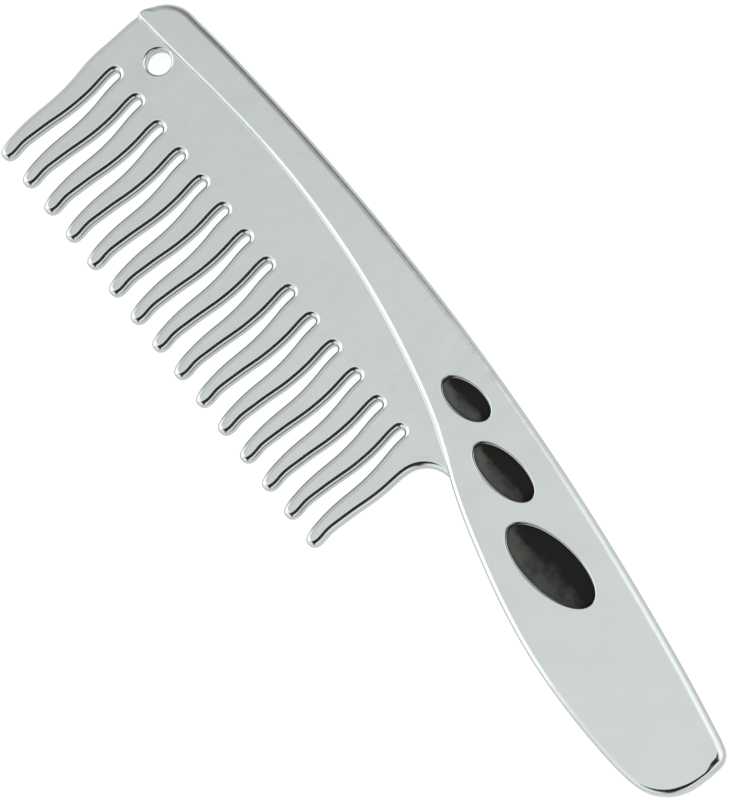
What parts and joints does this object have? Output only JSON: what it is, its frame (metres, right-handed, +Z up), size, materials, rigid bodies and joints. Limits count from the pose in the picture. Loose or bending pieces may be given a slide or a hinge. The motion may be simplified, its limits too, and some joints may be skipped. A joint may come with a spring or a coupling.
{
  "type": "grooming comb",
  "caption": "Polished metal mane and tail comb with wavy teeth, a hanging hole, and a broad flat handle with oval rubber finger pads let into both faces",
  "frame": {"origin": "under the middle of the comb's box, on the surface that it lies on", "axes": "+X along the row of teeth from the rounded tip end to the handle end, +Y across the comb from the tooth tips to the spine, +Z up through its thickness, with the front face up"},
  "size_m": [0.2304, 0.0606, 0.006],
  "materials": {
    "polished_metal": "polished cast steel with a faint soft mottle",
    "pad_rubber": "satin moulded rubber"
  },
  "bodies": {
    "root": {"comb_body": "polished_metal", "front_small_pad": "pad_rubber", "front_medium_pad": "pad_rubber", "front_large_pad": "pad_rubber", "back_small_pad": "pad_rubber", "back_medium_pad": "pad_rubber", "back_large_pad": "pad_rubber"}
  },
  "joints": []
}
